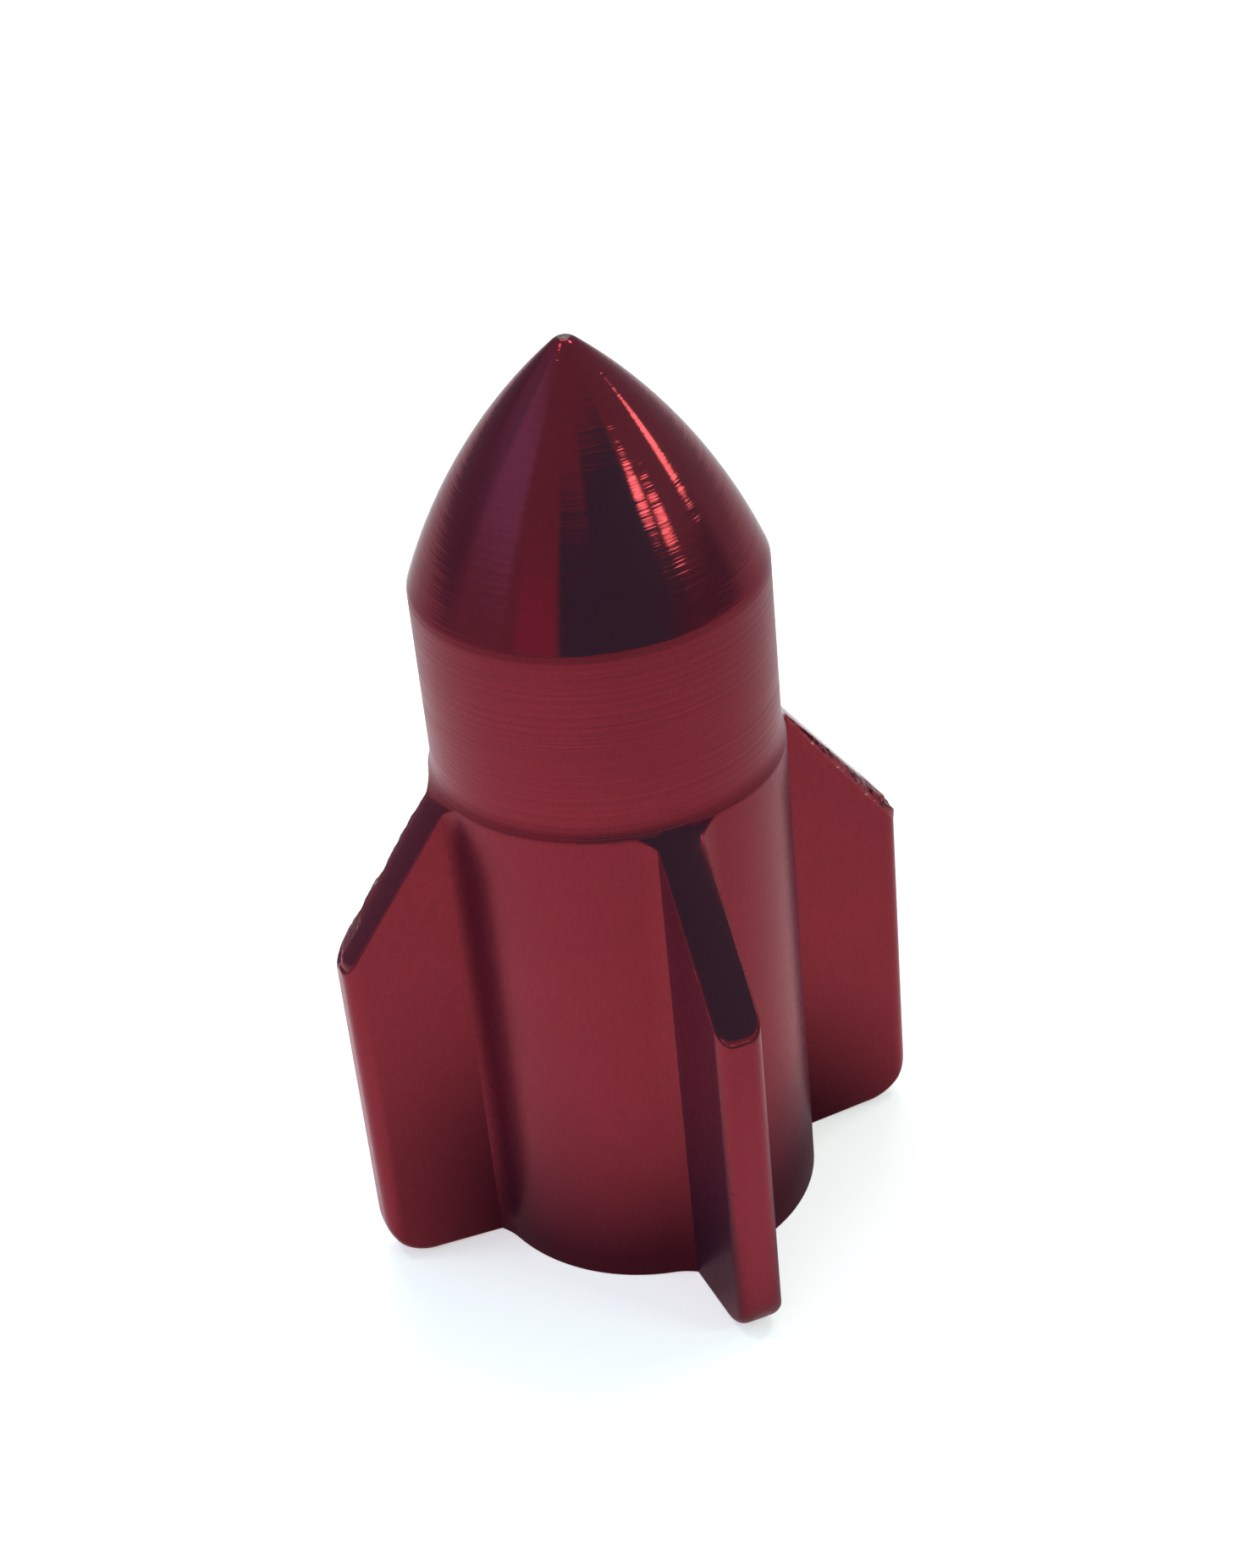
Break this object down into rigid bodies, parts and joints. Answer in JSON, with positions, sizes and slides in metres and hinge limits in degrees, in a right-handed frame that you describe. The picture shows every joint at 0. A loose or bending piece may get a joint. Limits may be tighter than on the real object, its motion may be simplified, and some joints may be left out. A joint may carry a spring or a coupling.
{
  "type": "tyre valve cap",
  "caption": "Rocket-shaped screw-on tyre valve cap: finned metal shell with a pointed nose, threaded liner and rubber seal.",
  "frame": {"origin": "centre of the flat base, at the mouth of the hole", "axes": "+Z along the axis towards the tip of the nose; the fins lie on the X and Y axes"},
  "size_m": [0.0192, 0.0192, 0.031],
  "materials": {
    "anodised_aluminium": "red anodised: bright nose, satin collar, matte extruded fins",
    "nylon": "moulded black nylon",
    "rubber": "matte black"
  },
  "bodies": {
    "root": {"shell": "anodised_aluminium", "thread_liner": "nylon", "seal": "rubber"}
  },
  "joints": []
}
